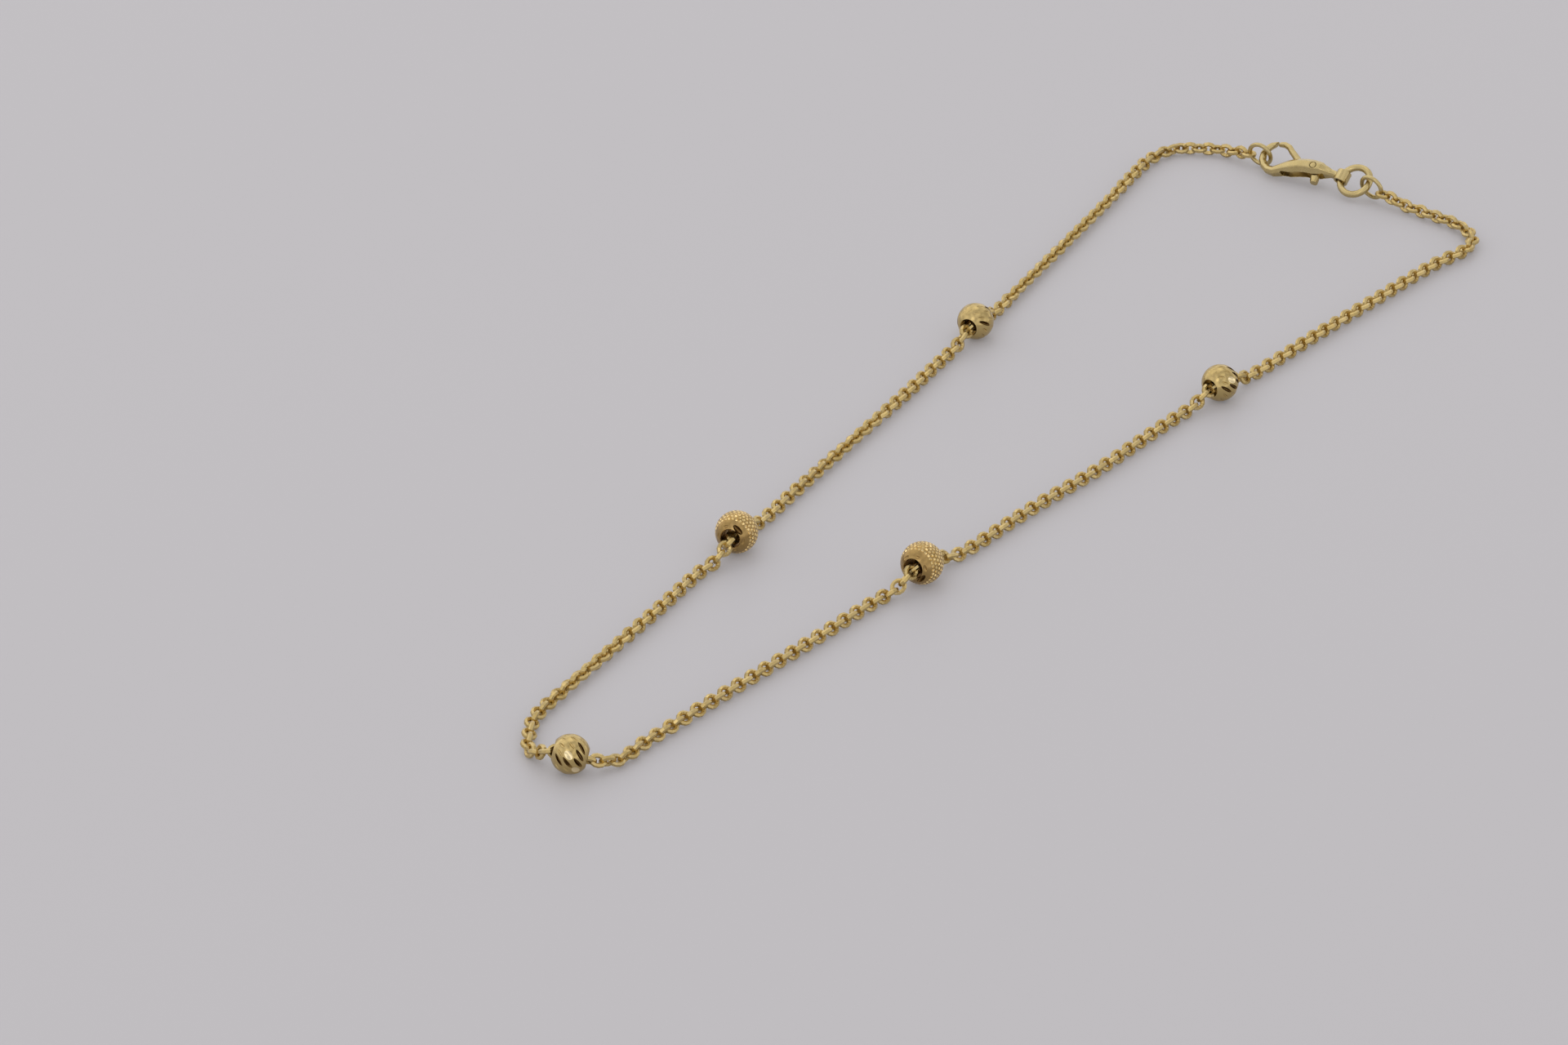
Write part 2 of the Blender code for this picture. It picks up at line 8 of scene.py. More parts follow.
import json
import logging
import math
import random
from collections.abc import Iterator
from contextlib import contextmanager
from dataclasses import dataclass, field
from enum import Enum, IntEnum

import bpy
from mathutils import Matrix, Vector

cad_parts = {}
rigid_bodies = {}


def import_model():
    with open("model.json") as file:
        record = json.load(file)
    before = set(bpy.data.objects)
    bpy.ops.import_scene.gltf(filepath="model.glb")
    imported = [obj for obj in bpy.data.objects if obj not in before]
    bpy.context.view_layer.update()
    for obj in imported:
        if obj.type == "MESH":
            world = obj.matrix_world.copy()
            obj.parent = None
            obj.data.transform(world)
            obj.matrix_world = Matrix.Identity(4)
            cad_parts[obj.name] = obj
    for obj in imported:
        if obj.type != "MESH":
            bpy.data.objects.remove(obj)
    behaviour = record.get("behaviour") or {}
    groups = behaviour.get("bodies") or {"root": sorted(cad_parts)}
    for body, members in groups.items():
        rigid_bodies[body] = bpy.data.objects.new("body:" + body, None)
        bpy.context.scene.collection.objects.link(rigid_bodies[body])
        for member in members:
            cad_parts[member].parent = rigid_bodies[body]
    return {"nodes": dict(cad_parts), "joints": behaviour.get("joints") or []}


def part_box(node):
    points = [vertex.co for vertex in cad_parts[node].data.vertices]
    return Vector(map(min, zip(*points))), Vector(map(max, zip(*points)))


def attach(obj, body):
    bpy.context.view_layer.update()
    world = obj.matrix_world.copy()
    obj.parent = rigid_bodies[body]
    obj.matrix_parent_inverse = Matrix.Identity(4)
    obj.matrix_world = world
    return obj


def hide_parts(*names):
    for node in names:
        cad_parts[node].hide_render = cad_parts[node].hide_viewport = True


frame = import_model()

MERGE = 1e-7
FACING = 0.9
UP = Vector((0.0, 0.0, 1.0))

logger = logging.getLogger("chain_anklet")


@dataclass(frozen=True)
class Waypoint:
    """One place that the chain passes over the surface, with what stands there."""

    x: float
    y: float
    bead: str | None = None
    lean: float | None = None
    heading: float | None = None
    rise: float = 0.0


# The chain's route over the surface, from the claw round to the jump ring, in metres. It is laid over
# the frame by the front bead's place. A lean says how many degrees the links are rolled over there, and
# a heading and a rise say how many degrees a bead stands turned on its chain.
CHAIN_ROUTE = [
    Waypoint(-0.0046, 0.0724, lean=0),
    Waypoint(-0.0065, 0.0716),
    Waypoint(-0.0082, 0.0703),
    Waypoint(-0.0089, 0.0679, lean=30),
    Waypoint(-0.0086, 0.0645),
    Waypoint(-0.0078, 0.0594, lean=80),
    Waypoint(-0.0067, 0.0515),
    Waypoint(-0.0057, 0.0440, lean=90),
    Waypoint(-0.0050, 0.0390),
    Waypoint(-0.0043, 0.0335, bead="left_far_bead", lean=45),
    Waypoint(-0.0039, 0.0284),
    Waypoint(-0.0031, 0.0214, lean=50),
    Waypoint(-0.0023, 0.0125, lean=90),
    Waypoint(-0.0015, 0.0040),
    Waypoint(-0.0010, -0.0008, lean=135),
    Waypoint(-0.0005, -0.0056, bead="left_near_bead", lean=135, heading=-76, rise=5),
    Waypoint(-0.0004, -0.0106),
    Waypoint(0.0002, -0.0167, lean=135),
    Waypoint(0.0008, -0.0240, lean=165),
    Waypoint(0.0013, -0.0305, lean=190),
    Waypoint(0.0018, -0.0346),
    Waypoint(0.0030, -0.0371, lean=206),
    Waypoint(0.0045, -0.0388),
    Waypoint(0.0078, -0.0387, bead="front_bead", lean=205, heading=27, rise=-13),
    Waypoint(0.0101, -0.0366, lean=250),
    Waypoint(0.0104, -0.0332, lean=240),
    Waypoint(0.0112, -0.0247, lean=225),
    Waypoint(0.0121, -0.0158),
    Waypoint(0.0129, -0.0066),
    Waypoint(0.0136, -0.0018, bead="right_near_bead", heading=94, rise=-7),
    Waypoint(0.0143, 0.0032),
    Waypoint(0.0149, 0.0115),
    Waypoint(0.0158, 0.0195, lean=225),
    Waypoint(0.0164, 0.0302),
    Waypoint(0.0171, 0.0354, bead="right_far_bead", lean=225),
    Waypoint(0.0178, 0.0406),
    Waypoint(0.0185, 0.0490, lean=203),
    Waypoint(0.0193, 0.0565),
    Waypoint(0.0201, 0.0640, lean=203),
    Waypoint(0.0209, 0.0678),
    Waypoint(0.0203, 0.0698),
    Waypoint(0.0183, 0.0712),
    Waypoint(0.0154, 0.0716, lean=180),
]


class Slot(Enum):
    """The record's material slots."""

    CHAIN = "chain_gold"
    BEAD = "bead_gold"
    CLASP = "clasp_gold"


class Relief(Enum):
    """How a bead's outside is cut."""

    FLUTED = "slanted flutes"
    SPARKLING = "small bright pits"


class Cut(IntEnum):
    """Which of a bead's finishes a face takes, as its number among the bead's materials."""

    OUTSIDE = 0
    # The pits' polished finish, whose lighter colour is partly painted sparkle.
    SMALL = 1
    # A dark colour painted into chosen cuts as shade.
    DEEP = 2
    # A light colour painted onto chosen cuts as a highlight.
    BRIGHT = 3


# Work in edit mode


def deselect_all() -> None:
    """Deselects every object and clears the active one."""
    for item in bpy.context.view_layer.objects:
        item.select_set(False)
    bpy.context.view_layer.objects.active = None


def pick(*pieces: bpy.types.Object) -> None:
    """Selects only these objects and makes the first one active.

    Args:
        pieces: The objects to select.
    """
    deselect_all()
    for piece in pieces:
        piece.select_set(True)
    bpy.context.view_layer.objects.active = pieces[0]


@contextmanager
def editing(piece: bpy.types.Object, select: bool = True) -> Iterator[None]:
    """Opens one object in edit mode and leaves it again.

    Args:
        piece: The mesh object to edit.
        select: Whether all of it starts selected.

    Yields:
        Nothing: the block runs in edit mode.
    """
    pick(piece)
    bpy.ops.object.mode_set(mode="EDIT")
    bpy.ops.mesh.select_mode(type="VERT")
    bpy.ops.mesh.select_all(action="SELECT" if select else "DESELECT")
    yield
    bpy.ops.object.mode_set(mode="OBJECT")


def newest(name: str) -> bpy.types.Object:
    """Names the object that an operator has just added.

    Args:
        name: The object's and its mesh's new name.

    Returns:
        The object.
    """
    piece = bpy.context.active_object
    piece.name = name
    piece.data.name = name
    return piece


def applied(piece: bpy.types.Object, kind: str, **settings: object) -> None:
    """Adds one modifier and applies it.

    Args:
        piece: The mesh object that takes it.
        kind: The modifier's type.
        settings: Values for its properties.
    """
    modifier = piece.modifiers.new(kind.lower(), kind)
    for key, value in settings.items():
        setattr(modifier, key, value)
    pick(piece)
    bpy.ops.object.modifier_apply(modifier=modifier.name)


def cut_away(piece: bpy.types.Object, cutter: bpy.types.Object, overlapping: bool = False) -> None:
    """Cuts one closed object out of another and removes the cutter.

    Args:
        piece: The object that is cut.
        cutter: The object that is taken away.
        overlapping: Whether the cutter's own parts run into each other.
    """
    applied(
        piece,
        "BOOLEAN",
        operation="DIFFERENCE",
        solver="EXACT",
        object=cutter,
        use_self=overlapping,
    )
    bpy.data.objects.remove(cutter, do_unlink=True)


def copied(source: bpy.types.Object, name: str, place: Matrix) -> bpy.types.Object:
    """Copies a modelled shape, with a mesh of its own, to a place that is kept in the mesh.

    Args:
        source: The object to copy.
        name: The copy's name.
        place: Where the copy's own origin and axes go.

    Returns:
        The copy, whose object sits unturned at the origin.
    """
    mesh = source.data.copy()
    mesh.name = name
    mesh.transform(place)
    piece = bpy.data.objects.new(name, mesh)
    bpy.context.scene.collection.objects.link(piece)
    return piece


def joined(pieces: list[bpy.types.Object], name: str) -> bpy.types.Object:
    """Joins several objects into the first.

    Args:
        pieces: The objects to join.
        name: The joined object's name.

    Returns:
        The joined object.
    """
    pick(*pieces)
    bpy.ops.object.join()
    return newest(name)


def settle(piece: bpy.types.Object) -> None:
    """Moves an object's place into its mesh, so that the object sits unturned at the origin."""
    pick(piece)
    bpy.ops.object.transform_apply(location=True, rotation=True, scale=True)


def smooth_all(piece: bpy.types.Object) -> None:
    """Shades an object smooth all over."""
    pick(piece)
    bpy.ops.object.shade_smooth()


def smooth_by(piece: bpy.types.Object, degrees: float) -> None:
    """Shades an object smooth apart from its sharper edges.

    Args:
        piece: The object to shade.
        degrees: The angle from which an edge stays sharp.
    """
    pick(piece)
    bpy.ops.object.shade_smooth_by_angle(angle=math.radians(degrees))


def middle_of(node: str) -> Vector:
    """The middle of a frame node's box."""
    low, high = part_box(node)
    return (low + high) / 2


def route_shift() -> Vector:
    """How far the frame stands from the route's own numbers, on the surface."""
    front = next(stop for stop in CHAIN_ROUTE if stop.bead == "front_bead")
    return middle_of("front_bead").xy - Vector((front.x, front.y))


def coated(
    piece: bpy.types.Object,
    materials: list[bpy.types.Material],
    cut: Cut = Cut.OUTSIDE,
) -> None:
    """Gives a shape several finishes and paints all its faces with one of them.

    Args:
        piece: The shape.
        materials: The finishes, in the order of Cut.
        cut: Which of them its faces take.
    """
    piece.data.materials.clear()
    for material in materials:
        piece.data.materials.append(material)
    for face in piece.data.polygons:
        face.material_index = cut


def dressed(
    piece: bpy.types.Object,
    material: bpy.types.Material | None,
    body: str,
    replaced: tuple[str, ...] = (),
) -> bpy.types.Object:
    """Gives a finished piece its material, its body and the nodes that it stands for.

    Args:
        piece: The finished piece.
        material: Its material, or None where its faces have theirs already.
        body: The frame body that it rides on.
        replaced: The frame nodes that it stands for.

    Returns:
        The piece.
    """
    if material is not None:
        piece.data.materials.clear()
        piece.data.materials.append(material)
    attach(piece, body)
    if replaced:
        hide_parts(*replaced)
    logger.info("%s: %d faces", piece.name, len(piece.data.polygons))
    return piece


# Finishes


def noise_of(
    tree: bpy.types.NodeTree,
    place: bpy.types.NodeSocket,
    scale: float,
    detail: float,
) -> bpy.types.NodeSocket:
    """Adds a noise texture.

    Args:
        tree: The node tree that takes it.
        place: The coordinates that it reads.
        scale: How many spots it has to one unit of them.
        detail: How many finer layers it has.

    Returns:
        The socket that gives the noise.
    """
    noise = tree.nodes.new("ShaderNodeTexNoise")
    noise.inputs["Scale"].default_value = scale
    noise.inputs["Detail"].default_value = detail
    tree.links.new(place, noise.inputs["Vector"])
    return noise.outputs["Fac"]


def spread_out(
    tree: bpy.types.NodeTree,
    noise: bpy.types.NodeSocket,
    usual: tuple[float, float],
    wanted: tuple[float, float],
) -> bpy.types.NodeSocket:
    """Spreads a noise between two values.

    Args:
        tree: The node tree that holds it.
        noise: The noise.
        usual: The two values that it mostly runs between.
        wanted: What those two become.

    Returns:
        The socket that gives the value.
    """
    spread = tree.nodes.new("ShaderNodeMapRange")
    spread.inputs["From Min"].default_value, spread.inputs["From Max"].default_value = usual
    spread.inputs["To Min"].default_value, spread.inputs["To Max"].default_value = wanted
    tree.links.new(noise, spread.inputs["Value"])
    return spread.outputs["Result"]


@dataclass(frozen=True)
class GoldFinish:
    """Yellow gold with slightly uneven colour and polish, and fine marks from handling."""

    name: str
    colour: tuple[float, float, float]
    deep_colour: tuple[float, float, float]
    roughness: tuple[float, float] = (0.16, 0.30)
    patch: float = 0.0009
    polish_share: float = 0.4
    mark: float = 0.00006
    mark_depth: float = 0.000002
    mark_strength: float = 0.5
    usual: tuple[float, float] = (0.32, 0.68)

    def material(self) -> bpy.types.Material:
        """Builds the finish as a material.

        Returns:
            The material, which reads Object coordinates.
        """
        material = bpy.data.materials.new(self.name)
        material.use_nodes = True
        tree = material.node_tree
        nodes = tree.nodes
        links = tree.links
        shader = nodes["Principled BSDF"]
        shader.inputs["Metallic"].default_value = 1.0
        place = nodes.new("ShaderNodeTexCoord").outputs["Object"]

        patches = noise_of(tree, place, 1.0 / self.patch, detail=3.0)
        tint = nodes.new("ShaderNodeMix")
        tint.data_type = "RGBA"
        tint.inputs[6].default_value = (*self.deep_colour, 1.0)
        tint.inputs[7].default_value = (*self.colour, 1.0)
        links.new(spread_out(tree, patches, self.usual, (0.0, 1.0)), tint.inputs["Factor"])
        links.new(tint.outputs[2], shader.inputs["Base Color"])

        polish = noise_of(tree, place, 1.0 / (self.patch * self.polish_share), detail=4.0)
        links.new(spread_out(tree, polish, self.usual, self.roughness), shader.inputs["Roughness"])

        marks = noise_of(tree, place, 1.0 / self.mark, detail=2.0)
        bump = nodes.new("ShaderNodeBump")
        bump.inputs["Strength"].default_value = self.mark_strength
        bump.inputs["Distance"].default_value = self.mark_depth
        links.new(marks, bump.inputs["Height"])
        links.new(bump.outputs["Normal"], shader.inputs["Normal"])
        return material


@dataclass(frozen=True)
class TableFinish:
    """The plain pale surface under the anklet. Its faint glow is painted fill light, which lightens the
    shadows on it.
    """

    name: str = "pale_surface"
    colour: tuple[float, float, float] = (0.388, 0.378, 0.394)
    roughness: float = 0.5
    sheen: float = 0.4
    # The glow is painted fill light that lightens the shadows on the surface.
    painted_fill_glow: float = 0.127
    painted_fill_glow_colour: tuple[float, float, float] = (1.0, 0.97, 1.0)

    def material(self) -> bpy.types.Material:
        """Builds the finish as a material.

        Returns:
            The material.
        """
        material = bpy.data.materials.new(self.name)
        material.use_nodes = True
        shader = material.node_tree.nodes["Principled BSDF"]
        shader.inputs["Base Color"].default_value = (*self.colour, 1.0)
        shader.inputs["Roughness"].default_value = self.roughness
        shader.inputs["Specular IOR Level"].default_value = self.sheen
        shader.inputs["Emission Color"].default_value = (*self.painted_fill_glow_colour, 1.0)
        shader.inputs["Emission Strength"].default_value = self.painted_fill_glow
        return material


CHAIN_GOLD = GoldFinish(
    name="chain_gold_cut",
    colour=(0.61, 0.47, 0.215),
    deep_colour=(0.55, 0.405, 0.155),
    roughness=(0.24, 0.34),
    patch=0.0012,
)
FLUTED_GOLD = GoldFinish(
    name="bead_gold_satin",
    colour=(0.55, 0.415, 0.182),
    deep_colour=(0.51, 0.38, 0.155),
    roughness=(0.20, 0.26),
    patch=0.0018,
    mark_depth=0.0000003,
)
SPARKLE_GOLD = GoldFinish(
    name="bead_gold_frosted",
    colour=(0.42, 0.28, 0.112),
    deep_colour=(0.36, 0.235, 0.085),
    roughness=(0.22, 0.32),
)
# The pits' finish: polished gold, painted lighter than the ball as sparkle.
POLISHED_PAINTED_SPARKLE_GOLD = GoldFinish(
    name="bead_gold_polished_painted_sparkle",
    colour=(0.84, 0.64, 0.32),
    deep_colour=(0.76, 0.57, 0.25),
    roughness=(0.06, 0.12),
    mark_depth=0.0000004,
)
# Painted highlight: a light gold for chosen cuts, as if they caught the light.
HIGHLIGHT_CUT_GOLD = GoldFinish(
    name="bead_gold_painted_highlight_cut",
    colour=(0.94, 0.78, 0.48),
    deep_colour=(0.90, 0.74, 0.43),
    roughness=(0.08, 0.14),
    mark_depth=0.0000004,
)
# Painted shade: a dark brown gold for chosen cuts, standing in for the shade inside them.
SHADED_CUT_GOLD = GoldFinish(
    name="bead_gold_painted_shade_cut",
    colour=(0.17, 0.10, 0.034),
    deep_colour=(0.14, 0.08, 0.025),
    roughness=(0.28, 0.36),
    mark_depth=0.0000004,
)
CAST_GOLD = GoldFinish(
    name="clasp_gold_cast",
    colour=(0.57, 0.455, 0.22),
    deep_colour=(0.51, 0.40, 0.18),
    roughness=(0.22, 0.32),
    patch=0.0014,
    mark=0.00012,
    mark_depth=0.0000012,
)


# Chain


@dataclass
class RoloLink:
    """One round link of broad six-sided wire, whose flat steps round it are its diamond cuts."""

    width: float = 0.00117
    length: float = 0.00136
    thickness: float = 0.00030
    band: float = 0.00038
    sides: int = 6
    steps: int = 12

    def build(self) -> bpy.types.Object:
        """Spins the wire's outline round the link's middle and stretches it along X.

        Returns:
            The link, at the origin, with its hole along Z.
        """
        reach = (self.width - self.thickness) / 2
        deselect_all()
        bpy.ops.mesh.primitive_circle_add(
            vertices=self.sides,
            radius=self.band / 2,
            fill_type="NOTHING",
            location=(reach, 0, 0),
            rotation=(math.radians(90), 0, 0),
        )
        link = newest("link_pattern")
        settle(link)
        squeeze = self.thickness / (math.sqrt(3) * self.band / 2)
        stretch = self.length / self.width
        with editing(link):
            bpy.ops.transform.resize(value=(squeeze, 1, 1), center_override=(reach, 0, 0))
            bpy.ops.mesh.spin(
                steps=self.steps,
                angle=math.tau,
                center=(0, 0, 0),
                axis=(0, 0, 1),
                use_auto_merge=True,
            )
            bpy.ops.mesh.select_all(action="SELECT")
            bpy.ops.mesh.remove_doubles(threshold=MERGE)
            bpy.ops.transform.resize(value=(stretch, 1, 1), center_override=(0, 0, 0))
            bpy.ops.mesh.normals_make_consistent(inside=False)
        return link


@dataclass
class Knot:
    """A place that the chain's middle line passes, its way there, and what is known of it."""

    place: Vector
    way: Vector
    height: float | None = None
    lean: float | None = None


@dataclass
class ChainLine:
    """The chain's middle line, from the claw's end ring through the beads to the other end ring."""

    width: float = 0.00114
    drop: float = 0.0026
    hook_reach: float = 0.00117
    claw_droop: float = math.radians(14)
    jump_droop: float = math.radians(18)
    bore_sag: float = 0.00012
    mouth_share: float = 0.42
    steps: int = 24
    points: list[Vector] = field(default_factory=list)
    travelled: list[float] = field(default_factory=list)
    leans: list[tuple[float, float]] = field(default_factory=list)
    bead_ways: dict[str, Vector] = field(default_factory=dict)

    def lay(self) -> None:
        """Works out the line's close points, how far along it each one is, and the links' leans."""
        knots = self._knots()
        flat = [knots[0].place]
        distances = [0.0]
        held = [(0.0, knots[0].height)]
        marks = [(0, knots[0].lean)]
        for first, second in zip(knots, knots[1:]):
            for step in range(1, self.steps + 1):
                flat.append(self._between(first, second, step / self.steps))
                distances.append(distances[-1] + (flat[-1] - flat[-2]).length)
            if second.height is not None:
                held.append((distances[-1], second.height))
            if second.lean is not None:
                marks.append((len(flat) - 1, second.lean))
        self.points = [
            Vector((*place, self._height(held, distance))) for place, distance in zip(flat, distances)
        ]
        self.travelled = [0.0]
        for before, here in zip(self.points, self.points[1:]):
            self.travelled.append(self.travelled[-1] + (here - before).length)
        self.leans = [(self.travelled[number], math.radians(lean)) for number, lean in marks]

    @property
    def length(self) -> float:
        """The line's whole length."""
        return self.travelled[-1]

    def at(self, distance: float) -> Vector:
        """The line's point this far along it.

        Args:
            distance: How far, in metres.

        Returns:
            The point.
        """
        distance = min(max(distance, 0.0), self.length)
        low, high = 0, len(self.travelled) - 1
        while high - low > 1:
            half = (low + high) // 2
            if self.travelled[half] <= distance:
                low = half
            else:
                high = half
        share = (distance - self.travelled[low]) / (self.travelled[high] - self.travelled[low])
        return self.points[low].lerp(self.points[high], share)

    def lean_at(self, distance: float) -> float:
        """How far the links are rolled over at this distance along the line.

        Args:
            distance: How far, in metres.

        Returns:
            The roll, in radians.
        """
        for (start, low), (end, high) in zip(self.leans, self.leans[1:]):
            if distance <= end:
                share = (distance - start) / (end - start)
                return low + (high - low) * share
        return self.leans[-1][1]

    def _between(self, first: Knot, second: Knot, share: float) -> Vector:
        """A smooth curve's point between two knots.

        Args:
            first: The knot before it.
            second: The knot after it.
            share: How far between them, from 0 to 1.

        Returns:
            The point on the surface.
        """
        reach = (second.place - first.place).length
        square = share * share
        cube = square * share
        return (
            first.place * (2 * cube - 3 * square + 1)
            + first.way * reach * (cube - 2 * square + share)
            + second.place * (3 * square - 2 * cube)
            + second.way * reach * (cube - square)
        )

    def _height(self, held: list[tuple[float, float]], distance: float) -> float:
        """How high the chain's middle runs: on the surface, or held up by a bead or an end ring.

        Args:
            held: Where it is held, as a distance along it and a height, in pairs for each bead.
            distance: How far along it.

        Returns:
            The height.
        """
        floor = self.width / 2
        for (start, low), (end, high) in zip(held[1:-1:2], held[2:-1:2]):
            if start <= distance <= end:
                return low + (high - low) * (distance - start) / (end - start)
        best = floor
        for place, top in held:
            share = min(abs(distance - place) / self.drop, 1.0)
            best = max(best, floor + (top - floor) * (1 - share * share * (3 - 2 * share)))
        return best

    def _knots(self) -> list[Knot]:
        """The places, ways, held heights and leans that the line passes."""
        shift = route_shift()
        left, right = middle_of("claw_end_ring"), middle_of("jump_end_ring")
        outward = (left - right).xy.normalized()
        start = left.xy + outward * self.hook_reach * math.cos(self.claw_droop)
        end = right.xy - outward * self.hook_reach * math.cos(self.jump_droop)
        route = [Vector((stop.x, stop.y)) + shift for stop in CHAIN_ROUTE]
        places = [start, *route, end]
        claw_height = left.z - self.hook_reach * math.sin(self.claw_droop)
        jump_height = right.z - self.hook_reach * math.sin(self.jump_droop)
        knots = [Knot(start, outward, claw_height, CHAIN_ROUTE[0].lean)]
        for number, (stop, place) in enumerate(zip(CHAIN_ROUTE, route), start=1):
            way = (places[number + 1] - places[number - 1]).normalized()
            if stop.bead is None:
                knots.append(Knot(place, way, lean=stop.lean))
            else:
                knots += self._bead_knots(stop, place, way)
        knots.append(Knot(end, outward, jump_height, CHAIN_ROUTE[-1].lean))
        return knots

    def _bead_knots(self, stop: Waypoint, place: Vector, way: Vector) -> list[Knot]:
        """The knots at both mouths of a bead.

        Args:
            stop: The bead's row of the route.
            place: The bead's place on the surface.
            way: The chain's way past it.

        Returns:
            The two knots.
        """
        if stop.heading is not None:
            heading = math.radians(stop.heading)
            way = Vector((math.cos(heading), math.sin(heading)))
        low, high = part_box(stop.bead)
        rise = math.radians(stop.rise)
        half = (high.z - low.z) * self.mouth_share
        height = (low.z + high.z) / 2 - self.bore_sag
        self.bead_ways[stop.bead] = Vector((*(way * math.cos(rise)), math.sin(rise)))
        flat = way * half * math.cos(rise)
        climb = half * math.sin(rise)
        return [
            Knot(place - flat, way, height - climb, stop.lean),
            Knot(place + flat, way, height + climb),
        ]


@dataclass
class Chain:
    """The whole run of links, each turned square to its neighbours, twisting slowly along the line.

    A link points from the line's place behind it to the one ahead, each as many pitches away as sight.
    """

    link: RoloLink = field(default_factory=RoloLink)
    line: ChainLine = field(default_factory=ChainLine)
    pitch: float = 0.00076
    sight: float = 0.6
    settling_links: int = 7
    loose_turn: float = math.radians(5)
    seed: int = 11

    def build(self, material: bpy.types.Material) -> bpy.types.Object:
        """Copies the link along the line.

        Args:
            material: The links' finish.

        Returns:
            The chain's links as one piece.
        """
        self.line.lay()
        pattern = self.link.build()
        count = round(self.line.length / self.pitch) + 1
        if count % 2 == 0:
            count += 1
        pitch = self.line.length / (count - 1)
        chance = random.Random(self.seed)
        links = []
        for number in range(count):
            place = self._place(number, count, pitch, chance)
            links.append(copied(pattern, f"link_{number}", place))
        bpy.data.objects.remove(pattern, do_unlink=True)
        chain = joined(links, "chain_links")
        with editing(chain):
            bpy.ops.mesh.faces_shade_flat()
        logger.info("chain of %d links, pitch %.3f mm", count, pitch * 1000)
        return dressed(chain, material, "anklet", ("chain",))

    def _place(self, number: int, count: int, pitch: float, chance: random.Random) -> Matrix:
        """One link's place and turn.

        Args:
            number: Which link it is, from the claw.
            count: How many links there are.
            pitch: The distance between their middles.
            chance: The source of small turns.

        Returns:
            The link's matrix.
        """
        middle = self.line.at(number * pitch)
        ahead = self.line.at((number + self.sight) * pitch)
        behind = self.line.at((number - self.sight) * pitch)
        along = (ahead - behind).normalized()
        across = UP.cross(along).normalized()
        upward = along.cross(across)
        roll = self.line.lean_at(number * pitch)
        if number % 2:
            roll += math.radians(90)
        loose = self.loose_turn * min(min(number, count - 1 - number) / self.settling_links, 1.0)
        roll += chance.uniform(-loose, loose)
        normal = upward * math.cos(roll) + across * math.sin(roll)
        sideways = normal.cross(along)
        turned = Matrix((along, sideways, normal)).transposed().to_4x4()
        return Matrix.Translation(middle) @ turned


# Beads


